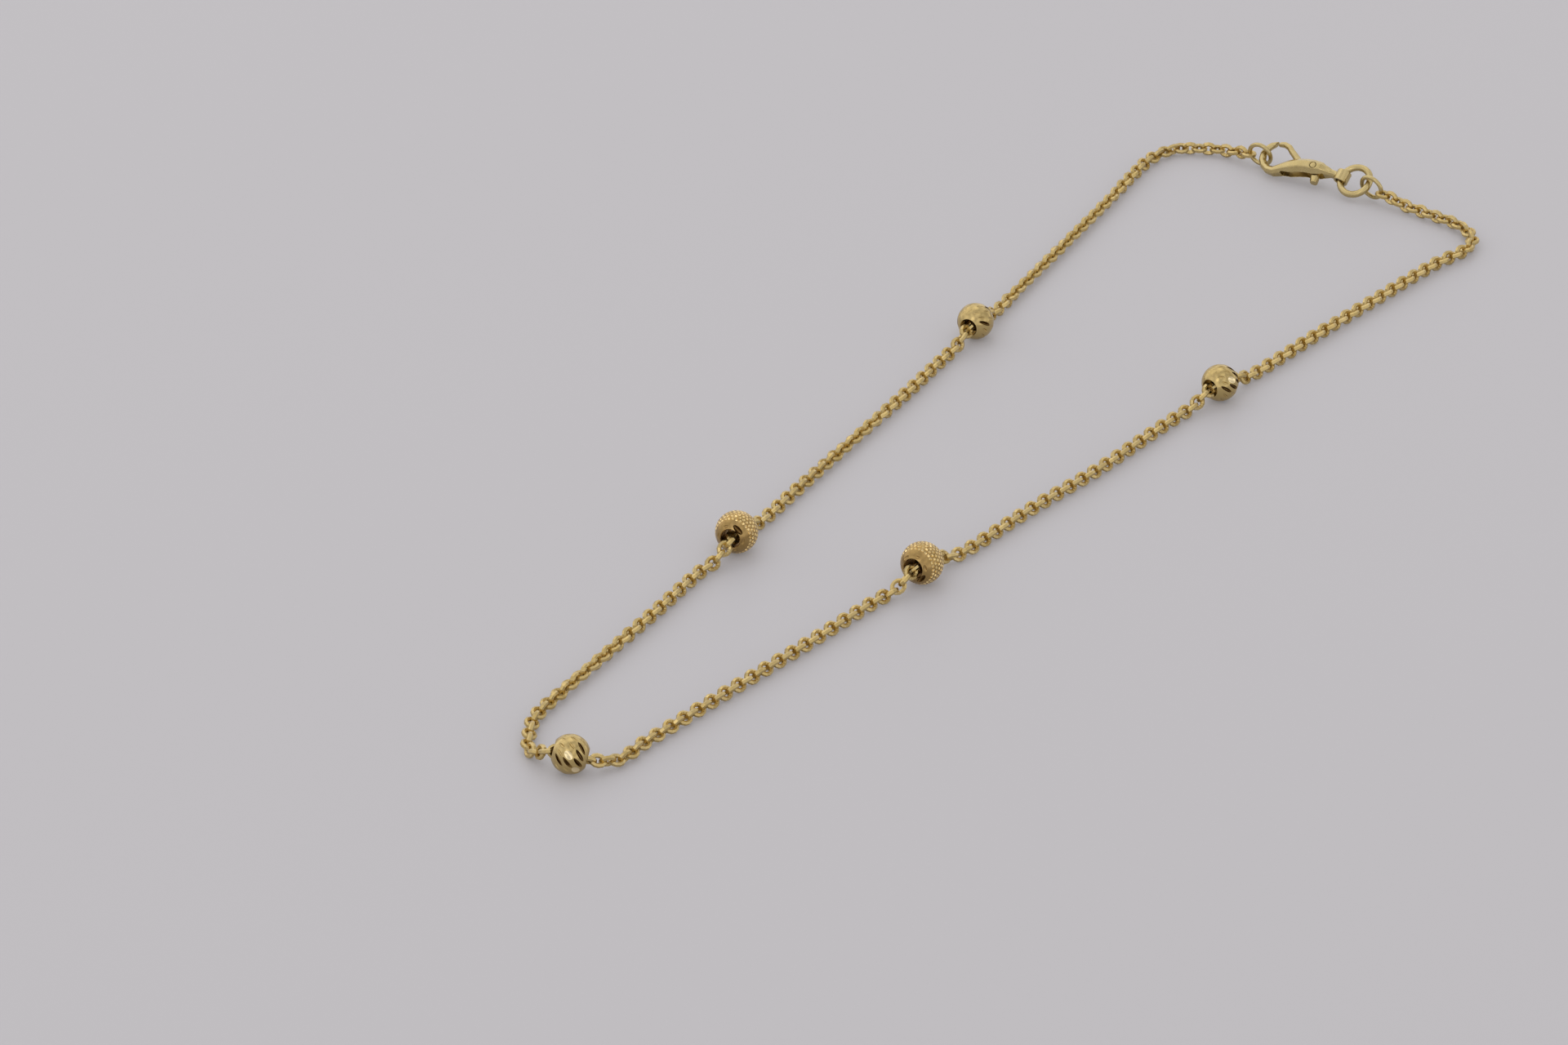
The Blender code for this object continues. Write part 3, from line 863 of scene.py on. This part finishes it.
@dataclass
class DrilledBead:
    """A round bead with a drilled bore along Z, whose mouths are flared.

    The ball is turned a little round its bore, so that its edges stay clear of the cutters' edges.
    """

    diameter: float
    bore: float
    lip: float = 0.00005
    flare_rise: float = 2.0
    segments: int = 80
    rings: int = 52
    offset_turn: float = math.radians(1.3)
    cutter_segments: int = 20
    cutter_rings: int = 12

    def ball(self, name: str, finishes: list[bpy.types.Material]) -> bpy.types.Object:
        """Adds the plain ball.

        Args:
            name: The ball's name.
            finishes: The bead's finishes, in the order of Cut.

        Returns:
            The ball, at the origin.
        """
        deselect_all()
        bpy.ops.mesh.primitive_uv_sphere_add(
            segments=self.segments,
            ring_count=self.rings,
            radius=self.diameter / 2,
            rotation=(0, 0, self.offset_turn),
        )
        ball = newest(name)
        settle(ball)
        coated(ball, finishes)
        return ball

    def drill(self) -> bpy.types.Object:
        """Makes the drill, which flares at both mouths.

        Returns:
            The drill, through the origin along Z.
        """
        radius = self.diameter / 2
        mouth = self.bore / 2 + self.lip
        half = math.sqrt(radius**2 - mouth**2)
        deselect_all()
        bpy.ops.mesh.primitive_cylinder_add(
            vertices=self.segments,
            radius=self.bore / 2,
            depth=2 * (half - self.lip),
            end_fill_type="NGON",
        )
        drill = newest("bead_drill")
        rise = self.flare_rise * self.lip
        flare = 1 + rise / (self.bore / 2)
        for side in (1, -1):
            with editing(drill, select=False):
                bpy.ops.mesh.select_mode(type="FACE")
                bpy.ops.object.mode_set(mode="OBJECT")
                for face in drill.data.polygons:
                    face.select = face.normal.z * side > FACING and face.center.z * side > 0
                bpy.ops.object.mode_set(mode="EDIT")
                bpy.ops.mesh.extrude_region_move(
                    TRANSFORM_OT_translate={"value": (0, 0, side * rise)}
                )
                bpy.ops.transform.resize(value=(flare, flare, 1))
                bpy.ops.mesh.extrude_region_move(
                    TRANSFORM_OT_translate={"value": (0, 0, side * radius)}
                )
        return drill

    def long_cutter(self, name: str, shape: tuple[float, float, float]) -> bpy.types.Object:
        """Makes a long round cutter.

        Args:
            name: The cutter's name.
            shape: Half its length, width and height.

        Returns:
            The cutter, with its lowest point at the origin.
        """
        deselect_all()
        bpy.ops.mesh.primitive_uv_sphere_add(
            segments=self.cutter_segments,
            ring_count=self.cutter_rings,
            radius=1.0,
        )
        cutter = newest(name)
        cutter.scale = shape
        cutter.location = (0, 0, shape[2])
        settle(cutter)
        return cutter

    def cutter_at(
        self,
        pattern: bpy.types.Object,
        polar: float,
        turn: float,
        slant: float,
        depth: float,
        roll: float = 0.0,
    ) -> bpy.types.Object:
        """Sets one cutter against the ball.

        Args:
            pattern: The cutter's shape, long along X, with its lowest point at its origin.
            polar: The cut's angle from the bore.
            turn: The cut's angle round the bore.
            slant: The angle from the bore's direction to the cut's length.
            depth: How deep the cut is.
            roll: How far the cutter leans over sideways.

        Returns:
            The placed cutter.
        """
        radius = self.diameter / 2 - depth
        turned = (
            Matrix.Rotation(turn, 4, "Z")
            @ Matrix.Rotation(polar, 4, "Y")
            @ Matrix.Translation((0, 0, radius))
            @ Matrix.Rotation(slant, 4, "Z")
            @ Matrix.Rotation(roll, 4, "X")
        )
        return copied(pattern, "cutter", turned)

    def placed(self, ball: bpy.types.Object, node: str, way: Vector, spin: float) -> bpy.types.Object:
        """Copies a finished bead to its frame node, with its bore along the chain.

        Args:
            ball: The finished bead at the origin.
            node: The frame node.
            way: The chain's way through it.
            spin: How far the bead is turned round its bore.

        Returns:
            The bead's copy.
        """
        heading = math.atan2(way.y, way.x)
        rise = math.asin(way.z)
        place = (
            Matrix.Translation(middle_of(node))
            @ Matrix.Rotation(heading, 4, "Z")
            @ Matrix.Rotation(math.radians(90) - rise, 4, "Y")
            @ Matrix.Rotation(spin, 4, "Z")
        )
        return copied(ball, f"{node}_cut", place)


@dataclass
class FlutedBead(DrilledBead):
    """A satin ball with three rows of slanted flutes.

    Most flutes are shallow and keep the ball's finish. The ones named by row and place are cut deep,
    and their dark colour is painted shade, or are cut wide, shallow and polished, and their light
    colour is a painted highlight.
    """

    diameter: float = 0.0029
    bore: float = 0.00136
    cuts_round: int = 14
    rows: tuple[float, ...] = (59, 90, 121)
    stagger: float = 0.2
    slant: float = math.radians(-38)
    depth: float = 0.00008
    bright_share: float = 0.7
    deep: float = 0.00020
    deep_shaded_cuts: frozenset[tuple[int, int]] = frozenset(
        {(0, 8), (0, 9), (0, 10), (1, 10), (2, 10), (0, 2), (2, 3), (1, 13)}
    )
    painted_highlight_cuts: frozenset[tuple[int, int]] = frozenset({(1, 9), (0, 11), (2, 2)})
    cutter: tuple[float, float, float] = (0.00095, 0.00019, 0.00070)
    wide_cutter: tuple[float, float, float] = (0.00120, 0.00060, 0.00060)
    rolls: tuple[float, ...] = (-20, -20, 12)
    smooth_to: float = 22

    def build(self, finishes: list[bpy.types.Material]) -> bpy.types.Object:
        """Cuts the flutes and drills the bore.

        Args:
            finishes: The bead's finishes, in the order of Cut.

        Returns:
            The bead at the origin, its bore along Z.
        """
        ball = self.ball("fluted_bead_pattern", finishes)
        narrow = self.long_cutter("flute_cutter", self.cutter)
        wide = self.long_cutter("wide_flute_cutter", self.wide_cutter)
        cutters = []
        for number, (polar, roll) in enumerate(zip(self.rows, self.rolls)):
            for k in range(self.cuts_round):
                finish, depth = self._cut((number, k))
                pattern = wide if finish is Cut.BRIGHT else narrow
                coated(pattern, finishes, finish)
                turn = math.tau * (k + number * self.stagger) / self.cuts_round
                cutters.append(
                    self.cutter_at(
                        pattern,
                        math.radians(polar),
                        turn,
                        self.slant,
                        depth,
                        math.radians(roll),
                    )
                )
        for pattern in (narrow, wide):
            bpy.data.objects.remove(pattern, do_unlink=True)
        cut_away(ball, joined(cutters, "flute_cutters"), overlapping=True)
        cut_away(ball, self.drill())
        smooth_by(ball, self.smooth_to)
        return ball

    def _cut(self, place: tuple[int, int]) -> tuple[Cut, float]:
        """Says how one flute is cut.

        Args:
            place: Its row and its number round the row.

        Returns:
            Its finish, and its depth.
        """
        # Chosen flutes are cut deep and take painted shade; others are cut wide and take a painted
        # highlight.
        if place in self.deep_shaded_cuts:
            return Cut.DEEP, self.deep
        if place in self.painted_highlight_cuts:
            return Cut.BRIGHT, self.depth * self.bright_share
        return Cut.OUTSIDE, self.depth


@dataclass
class SparklingBead(DrilledBead):
    """A ball with a wide band of small pits, polished and painted lighter as sparkle, and lens cuts
    round each mouth.

    Most lens cuts are shallow and keep the ball's finish. The ones named by side and place are deep,
    and their dark colour is painted shade.
    """

    diameter: float = 0.00325
    bore: float = 0.00152
    cutter_segments: int = 18
    pit_rows: int = 7
    pits_round: int = 30
    band: float = math.radians(60)
    pit: float = 0.00018
    pit_depth: float = 0.00006
    pit_reach: float = 0.86
    pit_tilt: float = 0.9
    lens_polar: float = 37
    lenses_round: int = 6
    lens_depth: float = 0.00025
    plain_share: float = 0.3
    lens_slant: float = math.radians(84)
    lens_cutter: tuple[float, float, float] = (0.00056, 0.00023, 0.00040)
    deep_shaded_lenses: frozenset[tuple[int, int]] = frozenset({(1, 2), (-1, 5)})
    smooth_to: float = 14
    seed: int = 5

    def build(self, finishes: list[bpy.types.Material]) -> bpy.types.Object:
        """Cuts the pits and the lens cuts and drills the bore.

        Args:
            finishes: The bead's finishes, in the order of Cut.

        Returns:
            The bead at the origin, its bore along Z.
        """
        ball = self.ball("sparkling_bead_pattern", finishes)
        for cutters in (self._pit_cutters(finishes), self._lens_cutters(finishes)):
            cut_away(ball, joined(cutters, "cutters"), overlapping=True)
        cut_away(ball, self.drill())
        smooth_by(ball, self.smooth_to)
        return ball

    def _pit_cutters(self, finishes: list[bpy.types.Material]) -> list[bpy.types.Object]:
        """Small faceted cutters in staggered rows, each turned by chance.

        Args:
            finishes: The bead's finishes, in the order of Cut.

        Returns:
            The placed cutters.
        """
        chance = random.Random(self.seed)
        deselect_all()
        bpy.ops.mesh.primitive_ico_sphere_add(subdivisions=1, radius=self.pit)
        pattern = newest("pit_cutter")
        # The pits take the polished finish that is painted lighter as sparkle.
        coated(pattern, finishes, Cut.SMALL)
        reach = self.diameter / 2 + self.pit * self.pit_reach - self.pit_depth
        cutters = []
        for row in range(self.pit_rows):
            share = row / (self.pit_rows - 1) - 0.5
            polar = math.radians(90) + share * self.band
            for k in range(self.pits_round):
                turn = math.tau * (k + (row % 2) / 2) / self.pits_round
                own_turn = chance.uniform(0, math.tau)
                tilt = chance.uniform(-self.pit_tilt, self.pit_tilt)
                place = (
                    Matrix.Rotation(turn, 4, "Z")
                    @ Matrix.Rotation(polar, 4, "Y")
                    @ Matrix.Translation((0, 0, reach))
                    @ (Matrix.Rotation(own_turn, 4, "Z") @ Matrix.Rotation(tilt, 4, "X"))
                )
                cutters.append(copied(pattern, "pit", place))
        bpy.data.objects.remove(pattern, do_unlink=True)
        return cutters

    def _lens_cutters(self, finishes: list[bpy.types.Material]) -> list[bpy.types.Object]:
        """Long cutters round both mouths.

        Args:
            finishes: The bead's finishes, in the order of Cut.

        Returns:
            The placed cutters.
        """
        pattern = self.long_cutter("lens_cutter", self.lens_cutter)
        cutters = []
        for side in (1, -1):
            polar = 90 - side * (90 - self.lens_polar)
            for k in range(self.lenses_round):
                # Chosen lens cuts are cut deep and take the dark finish, which is painted shade.
                deep = (side, k) in self.deep_shaded_lenses
                coated(pattern, finishes, Cut.DEEP if deep else Cut.OUTSIDE)
                turn = math.tau * k / self.lenses_round
                cutters.append(
                    self.cutter_at(
                        pattern,
                        math.radians(polar),
                        turn,
                        side * self.lens_slant,
                        self.lens_depth * (1.0 if deep else self.plain_share),
                    )
                )
        bpy.data.objects.remove(pattern, do_unlink=True)
        return cutters


@dataclass
class BeadSet:
    """The five beads of the loop, each modelled once for its kind and set on its node."""

    fluted: FlutedBead = field(default_factory=FlutedBead)
    sparkling: SparklingBead = field(default_factory=SparklingBead)
    spins: dict[str, float] = field(
        default_factory=lambda: {
            "left_far_bead": math.radians(55),
            "front_bead": math.radians(1.4),
            "right_far_bead": math.radians(-1.4),
            "left_near_bead": math.radians(26),
            "right_near_bead": math.radians(15),
        }
    )

    def build(self, ways: dict[str, Vector]) -> list[bpy.types.Object]:
        """Models both kinds and sets the five beads.

        Args:
            ways: The chain's way through each bead.

        Returns:
            The beads.
        """
        # The cuts' finishes: the pits' polish painted lighter as sparkle, painted shade and a painted
        # highlight.
        cuts = [finish.material() for finish in (POLISHED_PAINTED_SPARKLE_GOLD, SHADED_CUT_GOLD, HIGHLIGHT_CUT_GOLD)]
        satin = [FLUTED_GOLD.material(), *cuts]
        frosted = [SPARKLE_GOLD.material(), *cuts]
        patterns = {
            Relief.FLUTED: (self.fluted, self.fluted.build(satin)),
            Relief.SPARKLING: (self.sparkling, self.sparkling.build(frosted)),
        }
        beads = []
        for node, way in ways.items():
            relief = Relief.SPARKLING if "near" in node else Relief.FLUTED
            kind, ball = patterns[relief]
            bead = kind.placed(ball, node, way, self.spins[node])
            beads.append(dressed(bead, None, "anklet", (node,)))
        for _, ball in patterns.values():
            bpy.data.objects.remove(ball, do_unlink=True)
        return beads


# Clasp and rings


@dataclass
class CastPiece:
    """A cast and tumbled piece: the frame's solid with every edge rounded over."""

    node: str
    body: str
    voxel: float = 0.000034
    smoothing: float = 0.5
    rounding: int = 14
    kept_faces: float = 0.45

    def build(self, material: bpy.types.Material) -> bpy.types.Object:
        """Copies the node's solid and rounds its edges, with the hinge along the voxels' axis.

        Args:
            material: The piece's finish.

        Returns:
            The rounded piece.
        """
        hinge = Vector(frame["joints"][0]["axis"])
        upright = hinge.rotation_difference(UP).to_matrix().to_4x4()
        piece = copied(frame["nodes"][self.node], f"{self.node}_cast", upright)
        with editing(piece):
            bpy.ops.mesh.remove_doubles(threshold=MERGE)
        applied(piece, "REMESH", mode="VOXEL", voxel_size=self.voxel, adaptivity=0.0)
        applied(piece, "SMOOTH", factor=self.smoothing, iterations=self.rounding)
        applied(piece, "DECIMATE", ratio=self.kept_faces)
        piece.matrix_world = upright.inverted()
        settle(piece)
        smooth_all(piece)
        return dressed(piece, material, self.body, (self.node,))


@dataclass
class WireRing:
    """A round ring of round wire, with a small swelling where it was soldered shut."""

    node: str
    diameter: float
    wire: float
    seam: float = 0.06
    seam_reach: float = 0.55
    segments: int = 72
    sides: int = 20

    def build(self, material: bpy.types.Material) -> bpy.types.Object:
        """Adds the ring in its node's place and swells its seam.

        Args:
            material: The ring's finish.

        Returns:
            The ring.
        """
        normal, along = self._plane()
        deselect_all()
        bpy.ops.mesh.primitive_torus_add(
            major_radius=(self.diameter - self.wire) / 2,
            minor_radius=self.wire / 2,
            major_segments=self.segments,
            minor_segments=self.sides,
        )
        ring = newest(f"{self.node}_wire")
        middle = Vector(((self.diameter - self.wire) / 2, 0, 0))
        for vertex in ring.data.vertices:
            gap = (vertex.co - middle).length
            near = max(0.0, 1 - abs(vertex.co.y) / (self.wire * self.seam_reach))
            if gap < self.diameter / 2:
                vertex.co = middle + (vertex.co - middle) * (1 + self.seam * near * near)
        across = normal.cross(along).normalized()
        turned = Matrix((along, across, normal)).transposed().to_4x4()
        ring.data.transform(Matrix.Translation(middle_of(self.node)) @ turned)
        smooth_all(ring)
        return dressed(ring, material, "anklet", (self.node,))

    def _plane(self) -> tuple[Vector, Vector]:
        """The ring's normal and one way across it, from its node's faces.

        Returns:
            The normal and the way.
        """
        middle = middle_of(self.node)
        corners = [vertex.co - middle for vertex in frame["nodes"][self.node].data.vertices]
        first = max(corners, key=lambda corner: corner.length)
        second = max(corners, key=lambda corner: first.cross(corner).length)
        normal = first.cross(second).normalized()
        return normal, (first - normal * first.dot(normal)).normalized()


@dataclass
class Rivet:
    """The lever's pin, with both ends rounded over."""

    node: str = "clasp_rivet"
    diameter: float = 0.0005
    sides: int = 40
    edge: float = 0.00004
    edge_steps: int = 3
    smooth_to: float = 40

    def build(self, material: bpy.types.Material) -> bpy.types.Object:
        """Adds the pin on the lever's hinge.

        Args:
            material: The pin's finish.

        Returns:
            The pin.
        """
        hinge = frame["joints"][0]
        axis = Vector(hinge["axis"]).normalized()
        corners = [vertex.co for vertex in frame["nodes"][self.node].data.vertices]
        reaches = [(corner - Vector(hinge["pos_m"])).dot(axis) for corner in corners]
        deselect_all()
        bpy.ops.mesh.primitive_cylinder_add(
            vertices=self.sides,
            radius=self.diameter / 2,
            depth=max(reaches) - min(reaches),
        )
        pin = newest(f"{self.node}_pin")
        applied(pin, "BEVEL", width=self.edge, segments=self.edge_steps, limit_method="ANGLE")
        turned = UP.rotation_difference(axis).to_matrix().to_4x4()
        pin.data.transform(Matrix.Translation(middle_of(self.node)) @ turned)
        smooth_by(pin, self.smooth_to)
        return dressed(pin, material, "anklet", (self.node,))


@dataclass
class LobsterClasp:
    """The clasp's body, lever and pin, and the three rings round it."""

    body: CastPiece = field(default_factory=lambda: CastPiece("clasp_body", "anklet"))
    lever: CastPiece = field(default_factory=lambda: CastPiece("clasp_lever", "lever"))
    pin: Rivet = field(default_factory=Rivet)
    rings: tuple[WireRing, ...] = (
        WireRing("jump_ring", 0.0031, 0.00056),
        WireRing("claw_end_ring", 0.0023, 0.00036),
        WireRing("jump_end_ring", 0.0023, 0.00036),
    )

    def build(self) -> list[bpy.types.Object]:
        """Builds every piece of the clasp.

        Returns:
            The pieces.
        """
        cast = CAST_GOLD.material()
        pieces = [self.body.build(cast), self.lever.build(cast), self.pin.build(cast)]
        pieces += [ring.build(cast) for ring in self.rings]
        return pieces


# Studio


@dataclass
class SoftLight:
    """A square soft light that looks at one point."""

    name: str
    place: tuple[float, float, float]
    side: float
    power: float
    colour: tuple[float, float, float] = (1.0, 1.0, 1.0)

    def build(self, target: Vector) -> bpy.types.Object:
        """Adds the light.

        Args:
            target: The point that it looks at.

        Returns:
            The light's object.
        """
        light = bpy.data.lights.new(self.name, "AREA")
        light.shape = "SQUARE"
        light.size = self.side
        light.energy = self.power
        light.color = self.colour
        item = bpy.data.objects.new(self.name, light)
        item.location = self.place
        item.rotation_euler = (target - Vector(self.place)).to_track_quat("-Z", "Y").to_euler()
        bpy.context.scene.collection.objects.link(item)
        return item


@dataclass
class Studio:
    """The pale surface, the soft lights and the camera at the photo's angle."""

    target: Vector = field(default_factory=lambda: Vector((*route_shift(), 0.0)))
    distance: float = 0.5432
    heading: float = math.radians(34)
    elevation: float = math.radians(29.1)
    lens: float = 165.0
    floor_side: float = 6.0
    finish: TableFinish = field(default_factory=TableFinish)
    lights: tuple[SoftLight, ...] = (
        SoftLight("window_light", (-0.75, 0.40, 0.90), 1.4, 2.4, (1.0, 0.985, 0.97)),
        SoftLight("front_light", (0.14, -0.72, 0.68), 0.30, 0.25, (1.0, 0.98, 0.95)),
    )
    world_light: float = 0.86
    world_colour: tuple[float, float, float] = (1.0, 0.985, 0.99)
    room_contrast: float = 0.28
    room_scale: float = 2.6
    room_usual: tuple[float, float] = (0.38, 0.62)

    def build(self) -> None:
        """Adds the surface, the lights, the surroundings and the camera."""
        self._add_surface()
        for light in self.lights:
            light.build(self.target)
        self._add_surroundings()
        self._add_camera()
        bpy.context.scene.view_settings.view_transform = "Standard"

    def _add_surface(self) -> None:
        """Adds the pale surface at z = 0."""
        deselect_all()
        bpy.ops.mesh.primitive_plane_add(size=self.floor_side)
        surface = newest("surface")
        surface.data.materials.append(self.finish.material())

    def _add_surroundings(self) -> None:
        """Lights the scene from all round, a little brighter and darker from place to place."""
        world = bpy.data.worlds.new("room")
        world.use_nodes = True
        tree = world.node_tree
        sky = tree.nodes["Background"]
        sky.inputs["Color"].default_value = (*self.world_colour, 1.0)
        place = tree.nodes.new("ShaderNodeTexCoord").outputs["Generated"]
        cloud = noise_of(tree, place, self.room_scale, detail=1.0)
        span = (self.world_light - self.room_contrast, self.world_light + self.room_contrast)
        tree.links.new(spread_out(tree, cloud, self.room_usual, span), sky.inputs["Strength"])
        bpy.context.scene.world = world

    def _add_camera(self) -> None:
        """Adds the camera at the photo's angle and makes it the scene's camera."""
        lens = bpy.data.cameras.new("camera")
        lens.lens = self.lens
        lens.sensor_fit = "HORIZONTAL"
        lens.sensor_width = 36.0
        lens.clip_start = 0.01
        camera = bpy.data.objects.new("camera", lens)
        level = Vector((math.sin(self.heading), -math.cos(self.heading), 0))
        away = level * math.cos(self.elevation) + UP * math.sin(self.elevation)
        camera.location = self.target + away * self.distance
        camera.rotation_euler = (-away).to_track_quat("-Z", "Y").to_euler()
        bpy.context.scene.collection.objects.link(camera)
        bpy.context.scene.camera = camera


def main() -> None:
    """Dresses the frame piece by piece and sets the studio round it."""
    logging.basicConfig(level=logging.INFO, format="%(name)s: %(message)s")
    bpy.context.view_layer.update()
    Studio().build()
    chain = Chain()
    chain.build(CHAIN_GOLD.material())
    BeadSet().build(chain.line.bead_ways)
    LobsterClasp().build()


if __name__ == "__main__":
    main()
